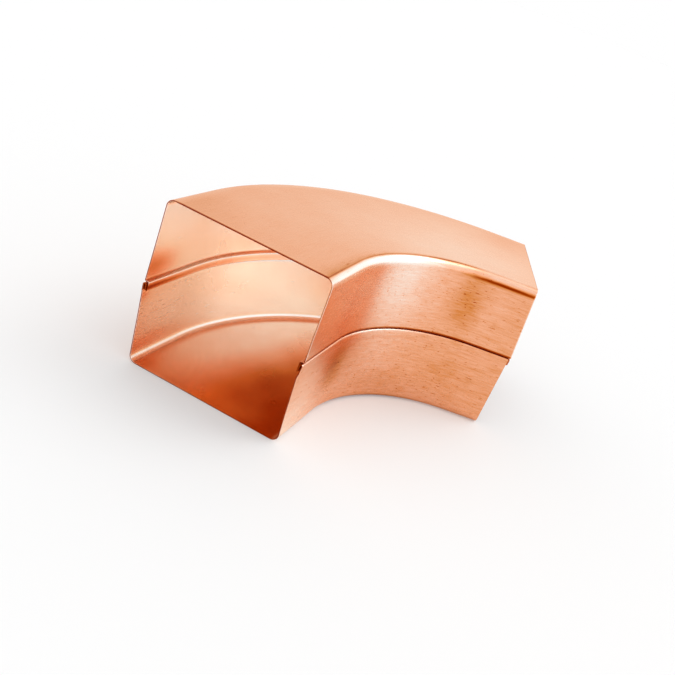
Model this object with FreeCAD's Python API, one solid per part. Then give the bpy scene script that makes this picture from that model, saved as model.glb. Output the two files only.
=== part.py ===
import FreeCAD, Part
import math
import os

# Square sheet-copper downspout elbow: two pressed half shells held by a folded lock seam
# along the throat (inside of the bend) and the heel (outside of the bend).
# Millimetres and degrees. +Z is up, the lower cheek lies on z = 0, and the axes of the two
# straight runs cross above the origin. The near mouth faces -Y.

SIDE = 100.0  # outside width of the duct, throat to heel
HEIGHT = 100.0  # outside height of the duct, cheek to cheek
SHEET = 0.7  # sheet thickness
BEND = 72.0  # change of direction between the two runs
THROAT_RADIUS = 87.0  # bend radius of the throat's outside face
NEAR_RUN = 43.0  # straight length from the near mouth to the bend
FAR_RUN = 23.5  # straight length from the bend to the far mouth
FOLD_INSIDE = 4.0  # inside radius of the long folds between cheeks and walls

LOCK_HEIGHT = 4.8  # lock seam, from the lower half's fold edge to the upper half's hook
LOCK_RISE = 1.2  # lower half's fold edge above mid height
LOCK_PLAY = 0.05  # gap between neighbouring layers of the lock
HOOK_END_PLAY = 0.3  # gap between a hook's cut edge and the hem that it sits in
STEP_ANGLE = 75.0  # slope of the upper half's inward step, measured from the wall

# How far the upper half's cut edges stand out of each mouth where the seam ends
NEAR_THROAT_PEAK = 1.5
NEAR_HEEL_PEAK = 2.6
FAR_THROAT_PEAK = 2.8
FAR_HEEL_PEAK = 2.0
LOCK_SLIP = 1.2  # the lower half's cut edges there, shifted towards the near mouth
LIP_REACH = 5.2  # lip of the lower half's throat wall, out of the near mouth
LIP_DROP = 7.0  # the lip's tip below the lower half's fold edge

TRIM_MARGIN = 5.0  # overreach of the solids that trim the mouths

# Sizes that follow from the ones above
FOLD_OUTSIDE = FOLD_INSIDE + SHEET
LAYER_PITCH = SHEET + LOCK_PLAY
FOLD_EDGE = HEIGHT / 2 + LOCK_RISE
HEM_ROOF = FOLD_EDGE - SHEET
HOOK_FLOOR = FOLD_EDGE - LOCK_HEIGHT + SHEET
HOOK_LENGTH = HEM_ROOF - HOOK_FLOOR - HOOK_END_PLAY
STEP_START = FOLD_EDGE + LOCK_PLAY
STEP_SLOPE = math.radians(STEP_ANGLE)
PEAKS = (NEAR_THROAT_PEAK, NEAR_HEEL_PEAK, FAR_THROAT_PEAK, FAR_HEEL_PEAK, LIP_REACH)
PEAK_REACH = max(PEAKS) + LOCK_SLIP
AXIS_RADIUS = THROAT_RADIUS + SIDE / 2
TANGENT = AXIS_RADIUS * math.tan(math.radians(BEND / 2))

QUARTER = math.pi / 2
UP = FreeCAD.Vector(0, 0, 1)
BEND_CENTRE = FreeCAD.Vector(AXIS_RADIUS, -TANGENT, 0)


class Run:
    """A straight run: its throat corner at the bend, the way out of its mouth, throat to heel."""

    def __init__(self, corner, outward, across):
        self.corner = corner
        self.outward = outward
        self.across = across

    def point(self, out, over, height):
        return self.corner + self.outward * out + self.across * over + UP * height


def near_run():
    corner = FreeCAD.Vector(SIDE / 2, -TANGENT, 0)
    return Run(corner, FreeCAD.Vector(0, -1, 0), FreeCAD.Vector(-1, 0, 0))


def far_run():
    turn = math.radians(BEND)
    outward = FreeCAD.Vector(math.sin(turn), math.cos(turn), 0)
    across = FreeCAD.Vector(-math.cos(turn), math.sin(turn), 0)
    return Run(BEND_CENTRE + across * THROAT_RADIUS, outward, across)


class Strip:
    """A strip of sheet seen edge on, drawn by walking along its middle line.

    A heading of a quarter turn goes up, and one of zero goes from throat to heel.
    """

    def __init__(self, run, over, height, heading):
        self.run = run
        self.over = over
        self.height = height
        self.heading = heading
        self.sides = {1: [], -1: []}
        self.caps = [self.cap()]

    def offset(self, side):
        reach = side * SHEET / 2
        over = self.over - reach * math.sin(self.heading)
        return self.run.point(0, over, self.height + reach * math.cos(self.heading))

    def cap(self):
        return Part.makeLine(self.offset(1), self.offset(-1))

    def go(self, length):
        starts = {side: self.offset(side) for side in self.sides}
        self.over += length * math.cos(self.heading)
        self.height += length * math.sin(self.heading)
        for side, edges in self.sides.items():
            edges.append(Part.makeLine(starts[side], self.offset(side)))

    def turn(self, angle, inside):
        """Bend by an angle (positive to the left) at an inside radius.

        Gives the start, middle and end of the bend on either side of the sheet.
        """
        sign = math.copysign(1, angle)
        radius = inside + SHEET / 2
        first = self.heading
        last = first + angle
        centre_over = self.over - sign * radius * math.sin(first)
        centre_height = self.height + sign * radius * math.cos(first)
        track = {side: [] for side in self.sides}
        for self.heading in (first, (first + last) / 2, last):
            self.over = centre_over + sign * radius * math.sin(self.heading)
            self.height = centre_height - sign * radius * math.cos(self.heading)
            for side, points in track.items():
                points.append(self.offset(side))
        return track[sign], self.sides[sign], track[-sign], self.sides[-sign]

    def fold(self, angle):
        """A long fold between a wall and a cheek, round on both sides."""
        inner, inner_edges, outer, outer_edges = self.turn(angle, FOLD_INSIDE)
        inner_edges.append(Part.Arc(*inner).toShape())
        outer_edges.append(Part.Arc(*outer).toShape())

    def press(self, angle):
        """A pressed bend: sharp on its inside, one sheet thickness round on its outside."""
        outer, outer_edges = self.turn(angle, 0)[2:]
        outer_edges.append(Part.Arc(*outer).toShape())

    def square(self, angle):
        """A right-angled bend inside the lock, pressed sharp on both sides."""
        inner, _, outer, outer_edges = self.turn(angle, 0)
        corner = outer[0] + outer[-1] - inner[0]
        outer_edges.append(Part.makeLine(outer[0], corner))
        outer_edges.append(Part.makeLine(corner, outer[-1]))

    def hem(self, first, second):
        """Fold back to the left, round one layer of the other half."""
        first(QUARTER)
        self.go(2 * LAYER_PITCH - SHEET)
        second(QUARTER)

    def face(self):
        edges = self.sides[1] + self.sides[-1] + self.caps + [self.cap()]
        return Part.Face(Part.Wire(Part.__sortEdges__(edges)))


def layer(number):
    """Middle line of a lock layer, counted inward from the outside one."""
    return SHEET / 2 + (number - 1) * LAYER_PITCH


def lower_section(run):
    wall = HEM_ROOF - FOLD_OUTSIDE
    strip = Strip(run, layer(3), HEM_ROOF - HOOK_LENGTH, QUARTER)
    strip.go(HOOK_LENGTH)
    strip.hem(strip.square, strip.press)
    strip.go(wall)
    strip.fold(QUARTER)
    strip.go(SIDE - 2 * FOLD_OUTSIDE)
    strip.fold(QUARTER)
    strip.go(wall)
    strip.hem(strip.press, strip.square)
    strip.go(HOOK_LENGTH)
    return strip.face()


def upper_section(run):
    inward = layer(4) - layer(1)
    ramp = (inward - SHEET * (1 - math.cos(STEP_SLOPE))) / math.sin(STEP_SLOPE)
    step_height = SHEET * math.sin(STEP_SLOPE) + ramp * math.cos(STEP_SLOPE)
    wall = HEIGHT - FOLD_OUTSIDE - STEP_START - step_height
    strip = Strip(run, layer(2), HOOK_FLOOR + HOOK_LENGTH, -QUARTER)
    strip.go(HOOK_LENGTH)
    strip.hem(strip.square, strip.press)
    strip.go(STEP_START - HOOK_FLOOR)
    strip.press(STEP_SLOPE)
    strip.go(ramp)
    strip.press(-STEP_SLOPE)
    strip.go(wall)
    strip.fold(-QUARTER)
    strip.go(SIDE - 2 * FOLD_OUTSIDE)
    strip.fold(-QUARTER)
    strip.go(wall)
    strip.press(-STEP_SLOPE)
    strip.go(ramp)
    strip.press(STEP_SLOPE)
    strip.go(STEP_START - HOOK_FLOOR)
    strip.hem(strip.press, strip.square)
    strip.go(HOOK_LENGTH)
    return strip.face()


def mouth_trim(run, length, peak, lips, over_from, over_to):
    """What lies beyond a mouth, over part of its width.

    The mouth's cut edge stands out at the seam, and at the tips of any lips below it.
    """
    beyond = PEAK_REACH + TRIM_MARGIN
    corners = [
        (0, -TRIM_MARGIN),
        (0, FOLD_OUTSIDE),
        *lips,
        (peak, FOLD_EDGE),
        (0, HEIGHT - FOLD_OUTSIDE),
        (0, HEIGHT + TRIM_MARGIN),
        (beyond, HEIGHT + TRIM_MARGIN),
        (beyond, -TRIM_MARGIN),
    ]
    points = [run.point(length + reach, over_from, height) for reach, height in corners]
    outline = Part.makePolygon(points + points[:1])
    return Part.Face(outline).extrude(run.across * (over_to - over_from))


def mouth_trims(slip, lips):
    near, far = near_run(), far_run()
    throat = (-TRIM_MARGIN, SIDE / 2)
    heel = (SIDE / 2, SIDE + TRIM_MARGIN)
    return [
        mouth_trim(near, NEAR_RUN, NEAR_THROAT_PEAK + slip, lips, *throat),
        mouth_trim(near, NEAR_RUN, NEAR_HEEL_PEAK + slip, [], *heel),
        mouth_trim(far, FAR_RUN, FAR_THROAT_PEAK - slip, [], *throat),
        mouth_trim(far, FAR_RUN, FAR_HEEL_PEAK - slip, [], *heel),
    ]


def half_shell(section, slip, near_throat_lips):
    """One pressed half: its folded section along the near run, the bend and the far run."""
    near, far = near_run(), far_run()
    inlet = section(near).extrude(near.outward * (NEAR_RUN + PEAK_REACH))
    bend = section(near).revolve(BEND_CENTRE, -UP, BEND)
    outlet = section(far).extrude(far.outward * (FAR_RUN + PEAK_REACH))
    shell = inlet.fuse([bend, outlet]).cut(mouth_trims(slip, near_throat_lips)).removeSplitter()
    return shell.Solids[0]


os.makedirs("parts", exist_ok=True)
lip = (LIP_REACH, FOLD_EDGE - LIP_DROP)
half_shell(upper_section, 0, []).exportStep("parts/upper_half.step")
half_shell(lower_section, LOCK_SLIP, [lip]).exportStep("parts/lower_half.step")
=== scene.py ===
import math

import bpy
import numpy as np
from mathutils import Matrix, Vector


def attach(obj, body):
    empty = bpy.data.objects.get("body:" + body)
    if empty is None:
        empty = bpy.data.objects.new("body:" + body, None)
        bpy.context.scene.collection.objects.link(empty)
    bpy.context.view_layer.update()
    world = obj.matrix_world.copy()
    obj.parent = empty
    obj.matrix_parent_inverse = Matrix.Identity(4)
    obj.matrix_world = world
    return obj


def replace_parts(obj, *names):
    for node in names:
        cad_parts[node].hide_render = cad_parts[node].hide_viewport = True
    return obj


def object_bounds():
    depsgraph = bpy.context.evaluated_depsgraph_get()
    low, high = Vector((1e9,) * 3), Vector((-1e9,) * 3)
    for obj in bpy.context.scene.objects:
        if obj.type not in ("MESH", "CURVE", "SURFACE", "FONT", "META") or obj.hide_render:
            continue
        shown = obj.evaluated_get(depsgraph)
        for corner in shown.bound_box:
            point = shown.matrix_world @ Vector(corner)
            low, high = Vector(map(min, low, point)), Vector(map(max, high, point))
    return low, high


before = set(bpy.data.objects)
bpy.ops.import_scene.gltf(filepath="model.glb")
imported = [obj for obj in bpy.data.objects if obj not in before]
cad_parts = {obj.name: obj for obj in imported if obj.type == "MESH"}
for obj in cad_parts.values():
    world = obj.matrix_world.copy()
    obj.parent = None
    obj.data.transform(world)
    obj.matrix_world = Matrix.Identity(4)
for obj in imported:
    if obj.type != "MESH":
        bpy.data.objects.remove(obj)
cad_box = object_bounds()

# Square copper downspout elbow: two pressed half shells, locked along throat and heel.
# Metres. +Z is up, the lower cheek lies on z = 0 and the near mouth faces -Y.
# "over" is measured across the duct from throat to heel, "height" from the lower cheek, and
# "length" along the duct's axis from the start of the bend.

# Duct and sheet
HEIGHT = cad_box[1].z - cad_box[0].z
SIDE = -2 * cad_box[0].x
SHEET = 0.0007
BEND = math.radians(72)
THROAT_RADIUS = 0.087
NEAR_RUN = 0.043
FAR_RUN = 0.0235
FOLD_INSIDE = 0.004  # inside radius of the long folds between cheeks and walls

# Lock seam
LOCK_HEIGHT = 0.0048
LOCK_RISE = 0.0012  # the lower half's fold edge above mid height
LOCK_PLAY = 0.00005  # between neighbouring layers
HOOK_END_PLAY = 0.0003
STEP_SLOPE = math.radians(75)
PRESSED_INSIDE = 0.00012  # inside radius left in a bend that is pressed flat
LOCK_PROUD = 0.00025  # how far the lock's band stands proud of the wall below it

# Cut edges of the mouths
NEAR_THROAT_PEAK = 0.0015
NEAR_HEEL_PEAK = 0.0026
FAR_THROAT_PEAK = 0.0028
FAR_HEEL_PEAK = 0.0020
LOCK_SLIP = 0.0012  # the lower half, shifted towards the near mouth
LIP_REACH = 0.0052
LIP_DROP = 0.0070
CUT_EASE = 0.00012  # worn-off corner along the cut edges

# Sizes that follow from the ones above
FOLD_OUTSIDE = FOLD_INSIDE + SHEET
LAYER_PITCH = SHEET + LOCK_PLAY
FOLD_EDGE = HEIGHT / 2 + LOCK_RISE
HEM_ROOF = FOLD_EDGE - SHEET
HOOK_FLOOR = FOLD_EDGE - LOCK_HEIGHT + SHEET
HOOK_LENGTH = HEM_ROOF - HOOK_FLOOR - HOOK_END_PLAY
STEP_START = FOLD_EDGE + LOCK_PLAY
LOCK_MIDDLE = FOLD_EDGE - LOCK_HEIGHT / 2
AXIS_RADIUS = THROAT_RADIUS + SIDE / 2
TANGENT = AXIS_RADIUS * math.tan(BEND / 2)
QUARTER = math.pi / 2

# Steps along the section, and rows along the duct
HOOK_STEPS = 3
HEM_STEPS = 2
PRESSED_STEPS = 7
INNER_STEPS = 6
RAMP_STEPS = 4
LOWER_WALL_STEPS = 44
UPPER_WALL_STEPS = 40
MARGIN_STEPS = 10
FOLD_STEPS = 14
CHEEK_STEPS = 48
FOLD_MARGIN = 0.004  # wall next to a fold of the upper half, drawn finer
NEAR_ROWS = 14
BEND_ROWS = 73
FAR_ROWS = 10
EVEN_SHARE = 0.97  # share of a run that is drawn in even rows
SHARP_ANGLE = math.radians(40)  # edges that turn more than this look sharp

# Dents, and the wall set back below the lock. Pairs are where a soft change starts and ends.
DENT_DEPTH = 0.0002
DENT_FREE = (0.006, 0.020)  # distances from the lock's middle where dents begin
DENT_WAVES = (  # two sines each, to multiply: radians per metre over, up and along, and the start
    ((60, 0, 95, 1.0), (0, 70, -40, 0.5)),
    ((150, 0, -55, 2.0), (0, 130, 80, 0.0)),
)
SET_BACK_BLEND = (0.0001, 0.0018)  # depths below the lock
WALL_BLEND = (-0.006, -0.001)  # from cheek to wall, measured back from the wall

# Copper by tone: -0.25 nearly white, 0 pale, 1 deep. Tone carries painted light and shade, and the
# grain, clouds and marks
COPPER_TONES = (
    (-0.25, (0.990, 0.930, 0.880)),
    (0.00, (0.975, 0.800, 0.690)),
    (0.25, (0.955, 0.590, 0.430)),
    (0.50, (0.890, 0.420, 0.240)),
    (0.75, (0.705, 0.242, 0.060)),
    (1.00, (0.410, 0.055, 0.000)),
    (1.25, (0.250, 0.018, 0.000)),
)

# Soft zones of paler (-) and deeper (+) copper, most of them painted light and shade: length along
# the duct, height on a wall or distance from the throat on a cheek, half length, half width, amount
# The throat's and the cheeks' base tones differ to paint the light and shade each face shows
THROAT_TONE = 0.56
# Painted on the throat: highlights along the fold and the hem's edge, shade lines in the groove above
# the lock and along its foot, and reflections of paler and darker surroundings on the wall
THROAT_LIGHT_AND_SHADE = (
    (0.074, 0.092, 0.039, 0.042, -0.46),
    (0.015, 0.0976, 0.075, 0.0021, -0.80),
    (-0.035, 0.005, 0.035, 0.030, -0.50),
    (-0.006, 0.082, 0.042, 0.030, -0.42),
    (-0.008, 0.064, 0.016, 0.008, 0.10),
    (-0.034, 0.094, 0.012, 0.008, -0.10),
    (0.019, 0.083, 0.014, 0.014, -0.08),
    (0.038, 0.020, 0.020, 0.016, -0.08),
    (0.012, 0.032, 0.020, 0.016, 0.34),
    (0.010, 0.010, 0.022, 0.008, -0.09),
    (0.072, 0.030, 0.022, 0.014, -0.07),
    (0.158, 0.025, 0.022, 0.016, 0.07),
    (0.174, 0.075, 0.010, 0.014, -0.05),
    (0.150, 0.080, 0.016, 0.020, 0.20),
    (0.170, 0.0986, 0.040, 0.0020, -0.30),
    (0.178, 0.0955, 0.036, 0.0012, 0.70),
    (0.020, 0.0509, 0.080, 0.0005, -0.75),
    (0.075, 0.0523, 0.300, 0.0006, 0.75),
    (-0.015, 0.0531, 0.035, 0.0006, 0.60),
    (0.080, 0.0004, 0.075, 0.0018, 0.60),
)
CHEEK_TONE = 0.48
# Painted on the upper cheek: reflections of paler and darker surroundings, and shade along the fold
# near the near mouth
CHEEK_LIGHT_AND_SHADE = (
    (0.138, 0.020, 0.088, 0.062, -0.31),
    (-0.040, 0.098, 0.035, 0.030, 0.12),
    (-0.040, 0.002, 0.018, 0.012, 0.08),
    (-0.010, 0.006, 0.035, 0.003, 0.14),
    (0.180, 0.088, 0.018, 0.022, 0.10),
)
HEEL_TONE = 0.42
# Outside the heel: patches of the sheet's own tone, and a painted shade line in the groove above the
# lock
HEEL_PATCHES_AND_SHADE = (
    (0.055, 0.078, 0.060, 0.030, -0.20),
    (0.150, 0.022, 0.050, 0.030, 0.16),
    (-0.030, 0.040, 0.030, 0.045, 0.16),
    (0.018, 0.045, 0.016, 0.070, 0.14),
    (0.122, 0.055, 0.020, 0.070, -0.14),
    (0.075, 0.0523, 0.300, 0.0006, 0.60),
)
# Inside the heel the copper is painted pale, for the light that comes in through the mouths
HEEL_INSIDE_TONE = -0.10
# Inside the heel: paler bands and deeper patches painted for the light through the mouths, and at the
# lock a painted shade line, a painted highlight on its edge, and painted shade on its face and under it
HEEL_INSIDE_LIGHT_AND_SHADE = (
    (-0.040, 0.060, 0.018, 0.009, 0.80),
    (-0.030, 0.080, 0.020, 0.014, -0.08),
    (-0.024, 0.0105, 0.026, 0.0060, 0.42),
    (0.062, 0.0090, 0.040, 0.0090, -0.20),
    (0.098, 0.026, 0.016, 0.016, 0.22),
    (0.045, 0.060, 0.030, 0.012, 0.30),
    (-0.034, 0.020, 0.016, 0.010, 0.10),
    (0.020, 0.028, 0.070, 0.024, -0.24),
    (0.020, 0.0528, 0.200, 0.0003, 1.15),
    (0.020, 0.0517, 0.200, 0.0005, -0.40),
    (-0.050, 0.0488, 0.085, 0.0018, 0.95),
    (-0.045, 0.0430, 0.006, 0.004, 0.50),
)
LOWER_INSIDE_SHADE = 1.06  # painted shade inside the lower cheek, at the throat
LOWER_INSIDE_SLANT = 0.26  # how far its steps move towards the throat per length along the duct
LOWER_INSIDE_STEPS = (  # towards the heel the painted shade grows paler: where a step starts, where it ends, its amount
    (0.000, 0.030, -0.12),
    (0.032, 0.082, -0.88),
)
# Deeper and paler places in the painted shade of the lower cheek
LOWER_INSIDE_LIGHT_AND_SHADE = (
    (0.066, 0.050, 0.023, 0.017, 0.26),
    (-0.038, 0.050, 0.015, 0.030, -0.14),
    (-0.038, 0.094, 0.010, 0.006, 0.30),
)
SILL_SHADE = 0.40  # painted shade on the lower cheek just in from the near mouth, towards the heel
SILL_LENGTHS = (-0.040, 0.000)
SILL_OVERS = (0.050, 0.090)
# Under the upper cheek the copper is painted deeper, as shade seen in its reflection in the lower cheek
UPPER_INSIDE_TONE = 0.50
# The throat's inside is painted pale, so that its reflection in the heel's inside is bright
THROAT_INSIDE_TONE = -0.10
THROAT_INSIDE_SHADE = 1.0  # painted shade at the foot of the wall and along the lock
THROAT_FOOT = (0.004, 0.015)  # heights

# Where the tone goes softly from one part of the sheet to the next
THROAT_BLEND = (0.003, 0.006)  # from throat to cheek
HEEL_BLEND = (-0.010, -0.003)  # from cheek to heel, measured back from the heel
MID_BLEND = (0.040, 0.060)  # heights, inside: from the lower cheek's tone to the upper one's

# Painted shade lines, and painted shade and highlight along the rims
CREASE_AT = 0.0040  # painted shade line outside, where the throat's fold meets the upper cheek
CREASE_HALF = 0.0008
CREASE_SHADE = 0.72
CREASE_HEIGHTS = (HEIGHT - 0.002, HEIGHT)
CREASE_FADE = (0.115, 0.165)  # lengths over which it dies out towards the far mouth
CORNER_AT = 0.0950  # painted shade line inside, where the lower cheek meets the heel
CORNER_HALF = 0.0022
CORNER_SHADE = 0.50
RIM_CHEEK_SHADE = 0.55  # painted shade along the mouths' edges on the cheeks
RIM_THROAT_HIGHLIGHT = -0.50  # and a painted highlight along the throat's edge, above the lock
RIM_THROAT_DEPTH = (0.0008, 0.0014)
FOLDED_IN_SHADE = 0.95  # painted shade on the lock's inner layers, seen only at the mouths
FOLDED_IN_DEPTH = 0.95 * SHEET  # where they begin, from the outside of the wall

# Clouds, and how strongly grain and marks show
CLOUDS_OUTSIDE = 0.10
CLOUDS_INSIDE = 0.22
WORN_THROAT = 1.0
WORN_HEEL = 0.30
WORN_CHEEK = 0.22
WORN_INSIDE = 0.04
WORN_THROAT_BLEND = (0.003, 0.010)
WORN_HEEL_BLEND = (-0.004, -0.001)
RUBBED_ZONES = (  # inside the heel, just in from the near mouth
    (-0.035, 0.022, 0.030, 0.016, 2.0),
)

# Finishes in the order of their material slots: name, how much deeper than the sheet's tone,
# grain and marks in the tone, roughness, tint at a grazing look
# The shaded floor copper's warmer grazing tint paints the colour of the shade on the lower cheek's flat
# inside; the cut ends are painted in deep shade
FINISHES = (
    ("bright_copper", 0.0, 0.40, 0.30, 0.26, (1.0, 0.90, 0.79, 1.0)),
    ("shaded_floor_copper", 0.0, 0.40, 0.30, 0.26, (1.0, 0.88, 0.66, 1.0)),
    ("shaded_cut_copper", 1.0, 0.20, 0.05, 0.40, (0.80, 0.50, 0.35, 1.0)),
)
BRIGHT_SLOT, SHADED_FLOOR_SLOT, CUT_SLOT = range(len(FINISHES))
PAINTS = ("tone", "clouds", "worn")  # values painted on the points of the sheet; the tone carries painted light and shade

# Patterns on the flat sheet: features per metre across and along the duct, and detail if it is noise
GRAIN_LINES = (1050.0, 80.0, 3.0)
GRAIN_BANDS = (240.0, 16.0, 2.0)
DASHES = (1300.0, 170.0, 1.0)
DASH_LEVELS = (0.66, 0.74)
PIT_CELLS = (380.0, 210.0)
PIT_EDGE = (0.22, 0.08)  # from the rim of a pit to its floor, in cells
PIT_CHOICE = (0.86, 0.92)  # levels above which a cell has a pit
BAND_SHARE = 0.5  # strength of the bands beside that of the lines
CLOUDS_LARGE = {"Scale": 24.0, "Detail": 2.0}
CLOUDS_SMALL = {"Scale": 90.0, "Detail": 3.0}
CLOUDS_SMALL_SHARE = 0.4
NOISE_MEAN = 0.5
LINE_ROUGHER = 0.10
CLOUD_ROUGHER = 0.10
MARK_ROUGHER = 0.20
RELIEF_STRENGTH = 0.35
RELIEF_DEPTH = 0.00004

# Studio
WHITE = (1, 1, 1, 1)
BACKDROP = 1.0  # the sky as it is seen straight
SKY_HORIZON = 1.02
SKY_ZENITH = 0.95
SKY_LOW, SKY_HIGH = 0.35, 0.75
SKY_TILT = 0.15  # how much brighter the sky is towards +X
KEY_STANDS = (0.50, 0.42, 0.76)
KEY_POWER = 2.0
KEY_HALF_WIDTH = math.radians(27)
FLOOR_REACH = 30.0
FLOOR_COLOUR = 0.71
FLOOR_GLOW = 0.20
FLOOR_ROUGHNESS = 0.9

# Camera
EYE = (0.16593, -0.50645, 0.24712)
EYE_HEADING = math.radians(12.4048)  # turned to the left from facing +Y
EYE_TILT = math.radians(64.4051)  # raised from looking straight down
EYE_ROLL = math.radians(22.0792)
EYE_CLIP = (0.01, 50.0)
SENSOR_MM = 36.0
IMAGE = 675  # pixels
FOCAL = 829.1  # pixels
AXIS_RIGHT, AXIS_DOWN = 40.0, 30.0  # where the lens looks straight, from the image's middle, pixels


# Folded sections

def straight(length, steps):
    """A stretch of sheet without a turn."""
    return ("straight", length, 0.0, steps)


def bend(angle, inside, steps):
    """A turn by an angle, positive to the left, round an inside radius."""
    return ("bend", angle, inside, steps)


def pressed(angle):
    """A bend pressed flat, with hardly any radius left inside it."""
    return bend(angle, PRESSED_INSIDE, PRESSED_STEPS)


def hem():
    """A fold back to the left round one layer: two pressed quarter bends with a flat between."""
    flat = 2 * LAYER_PITCH - SHEET - 2 * PRESSED_INSIDE
    return [pressed(QUARTER), straight(flat, HEM_STEPS), pressed(QUARTER)]


def walk(over, height, heading, moves):
    """Middle line of a folded sheet: over, height and heading along it.

    A straight stretch adds length times (cos, sin) of the heading. A bend keeps its centre a
    radius to the side that it turns to, and its points lie on that circle.
    """
    overs, heights, headings = [np.array([over])], [np.array([height])], [np.array([heading])]
    for kind, amount, inside, steps in moves:
        part = np.linspace(0, 1, steps + 1)[1:]
        if kind == "straight":
            turned = np.full(steps, heading)
            new_over = over + amount * part * math.cos(heading)
            new_height = height + amount * part * math.sin(heading)
        else:
            radius = math.copysign(inside + SHEET / 2, amount)
            turned = heading + amount * part
            new_over = over + radius * (np.sin(turned) - math.sin(heading))
            new_height = height - radius * (np.cos(turned) - math.cos(heading))
        overs.append(new_over)
        heights.append(new_height)
        headings.append(turned)
        over, height, heading = new_over[-1], new_height[-1], turned[-1]
    return np.concatenate(overs), np.concatenate(heights), np.concatenate(headings)


def layer(number):
    """Middle line of a lock layer, counted inward from the outside one."""
    return SHEET / 2 + (number - 1) * LAYER_PITCH


def lower_section():
    """Hook, hem, throat wall, fold, lower cheek, fold, heel wall, hem, hook."""
    hook = straight(HOOK_LENGTH, HOOK_STEPS)
    wall = straight(HEM_ROOF - PRESSED_INSIDE - FOLD_OUTSIDE, LOWER_WALL_STEPS)
    fold = bend(QUARTER, FOLD_INSIDE, FOLD_STEPS)
    cheek = straight(SIDE - 2 * FOLD_OUTSIDE, CHEEK_STEPS)
    moves = [hook] + hem() + [wall, fold, cheek, fold, wall] + hem() + [hook]
    return walk(layer(3), HEM_ROOF - PRESSED_INSIDE - HOOK_LENGTH, QUARTER, moves)


def upper_section():
    """Hook, hem, inner layer, step out to the throat wall, fold, upper cheek, and so back.

    The step is two opposite pressed bends with a ramp between, as long as the way inward needs.
    """
    inward = layer(4) - layer(1)
    radius = PRESSED_INSIDE + SHEET / 2
    ramp_length = (inward - 2 * radius * (1 - math.cos(STEP_SLOPE))) / math.sin(STEP_SLOPE)
    step_height = 2 * radius * math.sin(STEP_SLOPE) + ramp_length * math.cos(STEP_SLOPE)
    wall_height = HEIGHT - FOLD_OUTSIDE - STEP_START - step_height
    hook = straight(HOOK_LENGTH, HOOK_STEPS)
    inner = straight(STEP_START - HOOK_FLOOR - PRESSED_INSIDE, INNER_STEPS)
    ramp = straight(ramp_length, RAMP_STEPS)
    wall = straight(wall_height - FOLD_MARGIN, UPPER_WALL_STEPS)
    margin = straight(FOLD_MARGIN, MARGIN_STEPS)
    fold = bend(-QUARTER, FOLD_INSIDE, FOLD_STEPS)
    cheek = straight(SIDE - 2 * FOLD_OUTSIDE, CHEEK_STEPS)
    step_out = [pressed(STEP_SLOPE), ramp, pressed(-STEP_SLOPE)]
    step_in = [pressed(-STEP_SLOPE), ramp, pressed(STEP_SLOPE)]
    moves = [hook] + hem() + [inner] + step_out + [wall, margin, fold, cheek, fold, margin, wall]
    moves += step_in + [inner] + hem() + [hook]
    return walk(layer(2), HOOK_FLOOR + PRESSED_INSIDE + HOOK_LENGTH, -QUARTER, moves)


# The path of the duct

def cut_edge(peak, lips=()):
    """Heights and reaches of a cut edge's corners: it stands out at the seam, and at lips below."""
    corners = [(FOLD_OUTSIDE, 0.0), *lips, (FOLD_EDGE, peak), (HEIGHT - FOLD_OUTSIDE, 0.0)]
    return tuple(zip(*corners))


def mouth_edges(slip, lips):
    """Cut edges of one half: throat and heel of the near mouth, then of the far mouth."""
    near = cut_edge(NEAR_THROAT_PEAK + slip, lips), cut_edge(NEAR_HEEL_PEAK + slip)
    far = cut_edge(FAR_THROAT_PEAK - slip), cut_edge(FAR_HEEL_PEAK - slip)
    return near, far


def mouth_reach(over, height, run, edges):
    """Length of a run at a point of the section: the cut edge goes straight between its corners."""
    throat, heel = edges
    return run + np.where(over < SIDE / 2, np.interp(height, *throat), np.interp(height, *heel))


def place(over, height, station, edges):
    """Point of the duct, and its length along the axis, at a station.

    Stations -1 to 0 are the near run, 0 to 1 the bend and 1 to 2 the far run. In the bend the point
    goes round the bend's centre at its own radius; on the runs it goes straight on.
    """
    near = mouth_reach(over, height, NEAR_RUN, edges[0])
    far = mouth_reach(over, height, FAR_RUN, edges[1])
    back = np.clip(-station, 0, 1) * near
    angle = np.clip(station, 0, 1) * BEND
    on = np.clip(station - 1, 0, 1) * far
    radius = THROAT_RADIUS + over
    x = AXIS_RADIUS - radius * np.cos(angle) + on * math.sin(BEND)
    y = radius * np.sin(angle) + on * math.cos(BEND) - back - TANGENT
    length = AXIS_RADIUS * angle + on - back
    return x, y, length


def stations():
    """Stations of the rows: the cut edge, one close behind it, and even rows over the rest.

    The near run is about twice as long as the far one, so its eased edge takes half the share.
    """
    ease = CUT_EASE / FAR_RUN
    near = np.concatenate([[-1, -1 + ease / 2], np.linspace(-EVEN_SHARE, 0, NEAR_ROWS)])
    turn = np.linspace(0, 1, BEND_ROWS)[1:]
    far = np.concatenate([np.linspace(1, 1 + EVEN_SHARE, FAR_ROWS)[1:], [2 - ease, 2]])
    return np.concatenate([near, turn, far])


# Tone, wear and dents over the sheet

def between(value, low, high):
    """Soft step from 0 to 1 while the value goes from low to high."""
    part = np.clip((value - low) / (high - low), 0, 1)
    return part * part * (3 - 2 * part)


def around(value, at, half):
    """1 at a place and softly less away from it: exp(-distance squared), in half sizes."""
    return np.exp(-((value - at) / half) ** 2)


def zoned(tone, zones, length, across):
    """A tone plus soft round zones, each its amount times its falls along and across."""
    for at_length, at_across, half_length, half_width, amount in zones:
        fall = around(length, at_length, half_length) * around(across, at_across, half_width)
        tone = tone + amount * fall
    return tone


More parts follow.
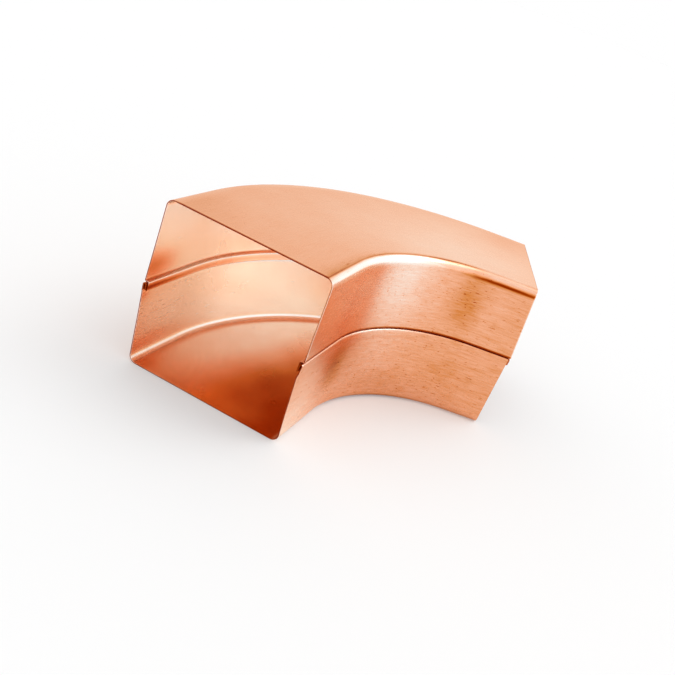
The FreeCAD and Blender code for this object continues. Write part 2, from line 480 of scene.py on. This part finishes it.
def inside_tones(over, height, length):
    """Tones inside the heel, the cheeks and the throat, painted light and shade.

    The lower cheek is painted in deep shade at the throat and grows paler towards the heel in soft
    slanting steps. A painted shade line runs along the corner at the heel. The throat is painted in
    deep shade at its foot and at the lock.
    """
    upper = between(height, *MID_BLEND)
    away = over + LOWER_INSIDE_SLANT * length
    lower_cheek = LOWER_INSIDE_SHADE
    for start, end, amount in LOWER_INSIDE_STEPS:
        lower_cheek = lower_cheek + amount * between(away, start, end)
    sill = (1 - between(length, *SILL_LENGTHS)) * between(over, *SILL_OVERS)
    lower_cheek = zoned(lower_cheek + SILL_SHADE * sill, LOWER_INSIDE_LIGHT_AND_SHADE, length, over)
    corner = CORNER_SHADE * around(over, CORNER_AT, CORNER_HALF) * (1 - upper)
    heel = zoned(HEEL_INSIDE_TONE, HEEL_INSIDE_LIGHT_AND_SHADE, length, height) + corner
    cheek = lower_cheek + (UPPER_INSIDE_TONE - lower_cheek) * upper + corner
    deep = np.maximum(1 - between(height, *THROAT_FOOT), around(height, LOCK_MIDDLE, LOCK_HEIGHT))
    throat = THROAT_INSIDE_TONE + (THROAT_INSIDE_SHADE - THROAT_INSIDE_TONE) * deep
    return heel, cheek, throat


def outside_tones(over, height, length, rim):
    """Tones outside the heel, the cheeks and the throat: zones, most of them painted light and shade,
    the painted shade line at the crease, and the rims' painted shade and highlight.
    """
    top = between(height, *CREASE_HEIGHTS) * (1 - between(length, *CREASE_FADE))
    crease = CREASE_SHADE * around(over, CREASE_AT, CREASE_HALF) * top
    highlit_rim = (1 - between(over, *RIM_THROAT_DEPTH)) * (height > FOLD_EDGE)
    heel = zoned(HEEL_TONE, HEEL_PATCHES_AND_SHADE, length, height)
    cheek = zoned(CHEEK_TONE, CHEEK_LIGHT_AND_SHADE, length, over) + RIM_CHEEK_SHADE * rim + crease
    throat = zoned(THROAT_TONE, THROAT_LIGHT_AND_SHADE, length, height) + RIM_THROAT_HIGHLIGHT * rim * highlit_rim + crease
    return heel, cheek, throat


def copper_tone(inside, over, height, length, rim):
    """Tone of the copper: heel, cheek and throat tones, each times its share of the place."""
    if inside:
        on_heel, on_cheek, on_throat = inside_tones(over, height, length)
    else:
        on_heel, on_cheek, on_throat = outside_tones(over, height, length, rim)
    heel = between(over - SIDE, *HEEL_BLEND)
    throat = 1 - between(over, *THROAT_BLEND)
    cheek = 1 - np.maximum(heel, throat)
    tone = heel * on_heel + cheek * on_cheek + throat * on_throat
    # The lock's inner layers, seen only at the mouths, are painted in deep shade.
    depth = np.minimum(over, SIDE - over)
    folded_in = (depth > FOLDED_IN_DEPTH) & (depth < layer(4))
    folded_in = folded_in & (np.abs(height - LOCK_MIDDLE) < LOCK_HEIGHT / 2)
    return np.where(folded_in, FOLDED_IN_SHADE, tone)


def wear(inside, over, height, length):
    """How strongly grain and marks show: fully on the throat, less on heel and cheek, least inside."""
    if inside:
        rubbed = zoned(0.0, RUBBED_ZONES, length, height) * between(over - SIDE, *HEEL_BLEND)
        return WORN_INSIDE + rubbed
    throat = 1 - between(over, *WORN_THROAT_BLEND)
    heel = between(over - SIDE, *WORN_HEEL_BLEND)
    return WORN_CHEEK + (WORN_THROAT - WORN_CHEEK) * throat + (WORN_HEEL - WORN_CHEEK) * heel


def dented(over, height, length):
    """Inward dents of the sheet: products of two long sines, added up and brought to 0 to 1.

    They die out at the lock, whose layers lie flat on each other. The wall below it is set back.
    """
    def sine(per_over, per_height, per_length, start):
        return np.sin(per_over * over + per_height * height + per_length * length + start)

    waves = sum(sine(*first) * sine(*second) for first, second in DENT_WAVES)
    share = (waves + len(DENT_WAVES)) / (2 * len(DENT_WAVES))
    free = between(np.abs(height - LOCK_MIDDLE), *DENT_FREE)
    below = between(FOLD_EDGE - LOCK_HEIGHT - height, *SET_BACK_BLEND)
    wall = between(np.abs(over - SIDE / 2) - SIDE / 2, *WALL_BLEND)
    return DENT_DEPTH * free * share + LOCK_PROUD * below * wall


# The half shells

def sheet_rings(section, edges, inner_side):
    """A folded section carried along the duct: one ring of points and paints per station.

    The sheet's two faces are half a thickness to either side of the middle line. At the mouths
    that offset shrinks a little, which eases the corners of the cut edge. A ring goes along one
    face and back along the other.
    """
    over, height, heading = section
    station = stations()[:, None]
    thin = np.full(station.shape, SHEET / 2)
    thin[[0, -1]] -= CUT_EASE
    rim = np.zeros(station.shape)
    rim[[0, 1, -2, -1]] = 1
    walked = np.concatenate([[0], np.cumsum(np.hypot(np.diff(over), np.diff(height)))])
    middle_length = place(over, height, station, edges)[2]
    dent = inner_side * dented(over, height, middle_length)
    faces = []
    for side in (1, -1):
        inside = side == inner_side
        offset = side * thin + dent
        face_over = over - offset * np.sin(heading)
        face_height = height + offset * np.cos(heading)
        x, y, length = place(face_over, face_height, station, edges)
        across = np.broadcast_to(walked, x.shape)
        tone = copper_tone(inside, face_over, face_height, length, rim)
        clouds = np.full(x.shape, CLOUDS_INSIDE if inside else CLOUDS_OUTSIDE)
        worn = wear(inside, face_over, face_height, length)
        faces.append(np.stack([x, y, face_height, across, length, tone, clouds, worn], axis=-1))
    left, right = faces
    return np.concatenate([left, right[:, ::-1]], axis=1)


def ring_quads(rows, ring):
    """Corners of the faces: from each ring to the next, and across the sheet at the cut ends."""
    row, col = np.meshgrid(np.arange(rows - 1), np.arange(ring), indexing="ij")
    turn = (col + 1) % ring
    skin = np.stack([row * ring + col, (row + 1) * ring + col,
                     (row + 1) * ring + turn, row * ring + turn], axis=-1).reshape(-1, 4)
    step = np.arange(ring // 2 - 1)
    near_end = np.stack([step, step + 1, ring - 2 - step, ring - 1 - step], axis=-1)
    far_end = near_end[:, ::-1] + (rows - 1) * ring
    return skin, np.concatenate([near_end, far_end])


def half_shell(name, section, edges, inner_side, finishes):
    """One half as a closed mesh, with its flat sheet as UV map, its paints and its finishes.

    The flat inside of the lower cheek gets the shaded floor copper, tinted to paint its shade, and the
    cut ends get the cut copper, painted in deep shade.
    """
    rings = sheet_rings(section, edges, inner_side)
    rows, ring, _ = rings.shape
    skin, ends = ring_quads(rows, ring)
    quads = np.concatenate([skin, ends])
    x, y, z, across, along, *paints = rings.reshape(rows * ring, -1).T

    mesh = bpy.data.meshes.new(name)
    mesh.from_pydata(np.stack([x, y, z], axis=-1), [], quads)
    flat = np.stack([across, along], axis=-1)[quads.ravel()].astype(np.float32)
    mesh.uv_layers.new(name="flat_sheet").uv.foreach_set("vector", flat.ravel())
    for title, paint in zip(PAINTS, paints):
        values = mesh.attributes.new(title, "FLOAT", "POINT")
        values.data.foreach_set("value", paint.astype(np.float32))

    for finish in finishes:
        mesh.materials.append(finish)
    low = np.isclose(section[1], SHEET / 2)
    low = np.concatenate([low & (inner_side > 0), low[::-1] & (inner_side < 0)])
    shaded_floor = np.tile(low & np.roll(low, -1), rows - 1)
    slots = np.concatenate([np.where(shaded_floor, SHADED_FLOOR_SLOT, BRIGHT_SLOT), np.full(len(ends), CUT_SLOT)])
    mesh.polygons.foreach_set("material_index", slots.astype(np.int32))
    mesh.polygons.foreach_set("use_smooth", np.ones(len(quads), dtype=bool))
    mesh.set_sharp_from_angle(angle=SHARP_ANGLE)
    mesh.validate()

    piece = bpy.data.objects.new(name, mesh)
    bpy.context.scene.collection.objects.link(piece)
    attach(piece, "root")
    return piece


# Shader nodes

def add(tree, kind, values=(), **settings):
    """A shader node with its settings. Values that are sockets are linked, and others are set."""
    node = tree.nodes.new("ShaderNode" + kind)
    for name, setting in settings.items():
        setattr(node, name, setting)
    for key, value in dict(values).items():
        if isinstance(value, bpy.types.NodeSocket):
            tree.links.new(value, node.inputs[key])
        else:
            node.inputs[key].default_value = value
    return node


def math_of(tree, operation, *terms):
    """The result of one Math node."""
    return add(tree, "Math", enumerate(terms), operation=operation).outputs[0]


def soft_step(tree, value, low, high, at_low=0.0, at_high=1.0):
    """Goes softly from one level to the other while the value goes from low to high.

    Low may be the larger of the two.
    """
    values = {"Value": value, "From Min": low, "From Max": high, "To Min": at_low, "To Max": at_high}
    return add(tree, "MapRange", values, interpolation_type="SMOOTHSTEP").outputs["Result"]


def effect(name, inputs, outputs):
    """An empty shader node group with named sockets, and its inner ends."""
    group = bpy.data.node_groups.new(name, "ShaderNodeTree")
    for title, kind in inputs:
        group.interface.new_socket(title, in_out="INPUT", socket_type="NodeSocket" + kind)
    for title, kind in outputs:
        group.interface.new_socket(title, in_out="OUTPUT", socket_type="NodeSocket" + kind)
    return group, group.nodes.new("NodeGroupInput").outputs, group.nodes.new("NodeGroupOutput").inputs


def place_effect(tree, group, values):
    """The outputs of an effect placed in a material with its own values."""
    return add(tree, "Group", values, node_tree=group).outputs


def stretched(tree, sheet, across, along):
    """Places on the flat sheet, counted in features across and along it."""
    scaled = add(tree, "VectorMath", {0: sheet, 1: (across, along, 0.0)}, operation="MULTIPLY")
    return scaled.outputs["Vector"]


def stretched_noise(tree, sheet, across, along, detail):
    """Noise on the flat sheet, with so many features per metre across and along it."""
    values = {"Vector": stretched(tree, sheet, across, along), "Scale": 1.0, "Detail": detail}
    return add(tree, "TexNoise", values).outputs["Fac"]


# Copper

def rolled_grain():
    """Fine lines left by the rolls, with broader faint bands, all along the duct."""
    group, given, gives = effect("rolled_grain", [("Sheet", "Vector")],
                                 [("Line", "Float"), ("Band", "Float")])
    for title, pattern in (("Line", GRAIN_LINES), ("Band", GRAIN_BANDS)):
        noise = stretched_noise(group, given["Sheet"], *pattern)
        group.links.new(math_of(group, "SUBTRACT", noise, NOISE_MEAN), gives[title])
    return group


def shop_marks():
    """Small pits, and short dashes along the rolling."""
    group, given, gives = effect("shop_marks", [("Sheet", "Vector")], [("Mark", "Float")])
    scaled = stretched(group, given["Sheet"], *PIT_CELLS)
    cells = add(group, "TexVoronoi", {"Vector": scaled, "Scale": 1.0})
    chosen = add(group, "SeparateColor", {0: cells.outputs["Color"]}).outputs[0]
    pit = math_of(group, "MULTIPLY", soft_step(group, cells.outputs["Distance"], *PIT_EDGE),
                  soft_step(group, chosen, *PIT_CHOICE))
    dash = soft_step(group, stretched_noise(group, given["Sheet"], *DASHES), *DASH_LEVELS)
    group.links.new(math_of(group, "MAXIMUM", pit, dash), gives["Mark"])
    return group


def clouding():
    """Soft clouds of handling and thin oxide, in two sizes, about a mean of zero."""
    group, given, gives = effect("clouding", [("Place", "Vector")], [("Cloud", "Float")])
    large = add(group, "TexNoise", {"Vector": given["Place"], **CLOUDS_LARGE}).outputs["Fac"]
    small = add(group, "TexNoise", {"Vector": given["Place"], **CLOUDS_SMALL}).outputs["Fac"]
    both = math_of(group, "MULTIPLY_ADD", small, CLOUDS_SMALL_SHARE, large)
    mean = NOISE_MEAN * (1 + CLOUDS_SMALL_SHARE)
    group.links.new(math_of(group, "SUBTRACT", both, mean), gives["Cloud"])
    return group


def copper_colour():
    """Copper's colour for a tone: straight from each listed colour to the next."""
    group, given, gives = effect("copper_colour", [("Tone", "Float")], [("Color", "Color")])
    lowest = COPPER_TONES[0][0]
    span = COPPER_TONES[-1][0] - lowest
    along_ramp = math_of(group, "MULTIPLY_ADD", given["Tone"], 1 / span, -lowest / span)
    ramp = add(group, "ValToRGB", {"Fac": along_ramp})
    stops = ramp.color_ramp.elements
    for tone, _ in COPPER_TONES[1:-1]:
        stops.new((tone - lowest) / span)
    for stop, (_, colour) in zip(stops, COPPER_TONES):
        stop.color = (*colour, 1)
    group.links.new(ramp.outputs["Color"], gives["Color"])
    return group


def copper_finish(effects, name, deeper, grain, marks, roughness, grazing):
    """Bare copper: tone from the sheet, which carries painted light and shade, with grain, clouds and
    marks in tone, gloss and relief.
    """
    material = bpy.data.materials.new(name)
    material.use_nodes = True
    tree = material.node_tree
    shader = tree.nodes["Principled BSDF"]
    sheet = add(tree, "UVMap", uv_map="flat_sheet").outputs["UV"]
    spot = add(tree, "TexCoord").outputs["Object"]
    paints = [add(tree, "Attribute", attribute_name=title) for title in PAINTS]
    tone, clouds, worn = [paint.outputs["Fac"] for paint in paints]
    lines = place_effect(tree, effects["grain"], {"Sheet": sheet})
    mark = place_effect(tree, effects["marks"], {"Sheet": sheet})["Mark"]
    cloud = place_effect(tree, effects["clouds"], {"Place": spot})["Cloud"]

    mark = math_of(tree, "MULTIPLY", mark, worn)
    streak = math_of(tree, "MULTIPLY", lines["Line"], grain)
    streak = math_of(tree, "MULTIPLY_ADD", lines["Band"], grain * BAND_SHARE, streak)
    # A finish's deeper tone is painted shade, on the cut ends
    tone = math_of(tree, "ADD", tone, deeper)
    tone = math_of(tree, "MULTIPLY_ADD", cloud, clouds, tone)
    tone = math_of(tree, "MULTIPLY_ADD", streak, worn, tone)
    tone = math_of(tree, "MULTIPLY_ADD", mark, marks, tone)
    colour = place_effect(tree, effects["colour"], {"Tone": tone})["Color"]
    tree.links.new(colour, shader.inputs["Base Color"])
    shader.inputs["Metallic"].default_value = 1
    shader.inputs["Specular Tint"].default_value = grazing

    line = math_of(tree, "MULTIPLY", lines["Line"], worn)
    gloss = math_of(tree, "MULTIPLY_ADD", line, LINE_ROUGHER, roughness)
    gloss = math_of(tree, "MULTIPLY_ADD", cloud, CLOUD_ROUGHER, gloss)
    gloss = math_of(tree, "MULTIPLY_ADD", mark, MARK_ROUGHER, gloss)
    tree.links.new(gloss, shader.inputs["Roughness"])

    relief = math_of(tree, "SUBTRACT", line, mark)
    bump = add(tree, "Bump", {"Height": relief, "Strength": RELIEF_STRENGTH, "Distance": RELIEF_DEPTH})
    tree.links.new(bump.outputs["Normal"], shader.inputs["Normal"])
    return material


# Studio

def floor():
    """A flat square floor at z = 0, white and a little aglow."""
    mesh = bpy.data.meshes.new("floor")
    reach = FLOOR_REACH
    corners = [(-reach, -reach, 0), (reach, -reach, 0), (reach, reach, 0), (-reach, reach, 0)]
    mesh.from_pydata(corners, [], [(0, 1, 2, 3)])
    sheet = bpy.data.objects.new("floor", mesh)
    bpy.context.scene.collection.objects.link(sheet)
    material = bpy.data.materials.new("floor_white")
    material.use_nodes = True
    shader = material.node_tree.nodes["Principled BSDF"]
    shader.inputs["Base Color"].default_value = (FLOOR_COLOUR, FLOOR_COLOUR, FLOOR_COLOUR, 1)
    shader.inputs["Emission Color"].default_value = WHITE
    shader.inputs["Emission Strength"].default_value = FLOOR_GLOW
    shader.inputs["Roughness"].default_value = FLOOR_ROUGHNESS
    shader.inputs["Specular IOR Level"].default_value = 0.0
    mesh.materials.append(material)


def studio_world():
    """Sky light by direction: white at the horizon, a little dimmer overhead, one broad soft light.

    Seen straight by the camera, the sky is plain white.
    """
    world = bpy.data.worlds.new("studio")
    bpy.context.scene.world = world
    world.use_nodes = True
    tree = world.node_tree
    direction = add(tree, "TexCoord").outputs["Generated"]
    split = add(tree, "SeparateXYZ", {0: direction}).outputs
    dome = soft_step(tree, split["Z"], SKY_LOW, SKY_HIGH, SKY_HORIZON, SKY_ZENITH)
    tilt = math_of(tree, "MULTIPLY_ADD", split["X"], SKY_TILT, 1.0)
    stands = Vector(KEY_STANDS).normalized()
    toward = add(tree, "VectorMath", {0: direction, 1: stands}, operation="DOT_PRODUCT")
    key = soft_step(tree, toward.outputs["Value"], math.cos(KEY_HALF_WIDTH), 1.0, 0.0, KEY_POWER)
    light = math_of(tree, "MULTIPLY_ADD", dome, tilt, key)
    seen = add(tree, "LightPath").outputs["Is Camera Ray"]
    lack = math_of(tree, "SUBTRACT", BACKDROP, light)
    sky = tree.nodes["Background"].inputs
    tree.links.new(math_of(tree, "MULTIPLY_ADD", seen, lack, light), sky["Strength"])
    sky["Color"].default_value = WHITE


def camera():
    """The eye: rolled about its own axis, raised from looking straight down, then turned and placed."""
    data = bpy.data.cameras.new("camera")
    data.sensor_width = SENSOR_MM
    data.lens = SENSOR_MM * FOCAL / IMAGE
    data.shift_x = -AXIS_RIGHT / IMAGE
    data.shift_y = AXIS_DOWN / IMAGE
    data.clip_start, data.clip_end = EYE_CLIP
    turn = Matrix.Rotation(EYE_HEADING, 4, "Z") @ Matrix.Rotation(EYE_TILT, 4, "X")
    view = bpy.data.objects.new("camera", data)
    view.matrix_world = Matrix.Translation(EYE) @ turn @ Matrix.Rotation(EYE_ROLL, 4, "Z")
    bpy.context.scene.collection.objects.link(view)
    bpy.context.scene.camera = view


effects = {
    "grain": rolled_grain(),
    "marks": shop_marks(),
    "clouds": clouding(),
    "colour": copper_colour(),
}
finishes = [copper_finish(effects, *finish) for finish in FINISHES]
upper_edges = mouth_edges(0.0, [])
lower_edges = mouth_edges(LOCK_SLIP, [(FOLD_EDGE - LIP_DROP, LIP_REACH)])
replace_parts(half_shell("upper_shell", upper_section(), upper_edges, -1, finishes), "upper_half")
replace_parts(half_shell("lower_shell", lower_section(), lower_edges, 1, finishes), "lower_half")
floor()
studio_world()
camera()
bpy.context.scene.view_settings.view_transform = "Standard"
